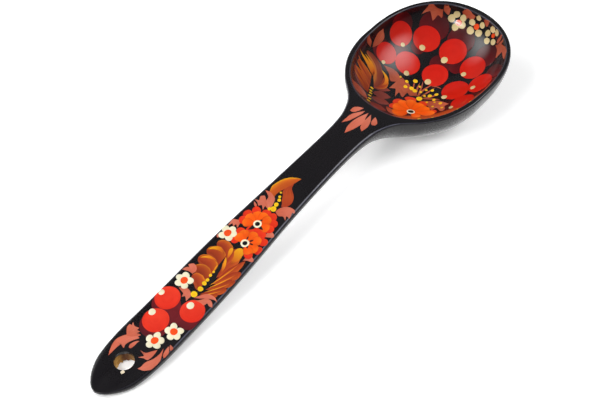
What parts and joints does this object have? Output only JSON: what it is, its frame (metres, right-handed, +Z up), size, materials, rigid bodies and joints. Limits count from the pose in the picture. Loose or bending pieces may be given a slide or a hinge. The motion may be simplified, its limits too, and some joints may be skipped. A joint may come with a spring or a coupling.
{
  "type": "painted wooden spoon",
  "caption": "Long-handled lacquered wooden serving spoon with an oval bowl, a hanging hole in the handle end and berry, flower and leaf painting.",
  "frame": {"origin": "middle of the spoon's length and width, on the table that it lies on", "axes": "+X along the spoon from the handle end to the bowl tip, +Z up out of the bowl, +Y across"},
  "size_m": [0.265, 0.068, 0.0263],
  "materials": {
    "lacquered_wood": "carved wood under thin glossy black lacquer",
    "terracotta_paint": "terracotta oil paint under clear lacquer",
    "cream_paint": "cream oil paint under clear lacquer",
    "berry_red_paint": "bright red oil paint under clear lacquer",
    "maroon_paint": "thin dark red glaze under clear lacquer",
    "centre_red_paint": "orange-red oil paint under clear lacquer",
    "petal_red_paint": "red oil paint under clear lacquer",
    "petal_orange_paint": "orange oil paint under clear lacquer",
    "leaf_gold_paint": "brown, orange and gold oil paint blended wet, under clear lacquer",
    "yellow_paint": "yellow oil paint under clear lacquer"
  },
  "bodies": {
    "root": {"spoon_body": "lacquered_wood", "neck_leaf_spray": "terracotta_paint", "handle_bud_leaf": "leaf_gold_paint", "handle_red_petals": "petal_red_paint", "handle_orange_petals": "petal_orange_paint", "handle_flower_eyes": "cream_paint", "handle_white_petals": "cream_paint", "handle_flower_centres": "centre_red_paint", "handle_feather_leaf": "leaf_gold_paint", "handle_yellow_dots": "yellow_paint", "handle_berry_shades": "maroon_paint", "handle_berries": "berry_red_paint", "handle_berry_glints": "cream_paint", "handle_terracotta_leaves": "terracotta_paint", "bowl_berry_shades": "maroon_paint", "bowl_berries": "berry_red_paint", "bowl_berry_glints": "cream_paint", "bowl_white_petals": "cream_paint", "bowl_flower_centres": "centre_red_paint", "bowl_red_petals": "petal_red_paint", "bowl_orange_petals": "petal_orange_paint", "bowl_flower_eye": "cream_paint", "bowl_feather_leaf": "leaf_gold_paint", "bowl_sprig_dots": "yellow_paint", "bowl_terracotta_leaves": "terracotta_paint"}
  },
  "joints": []
}
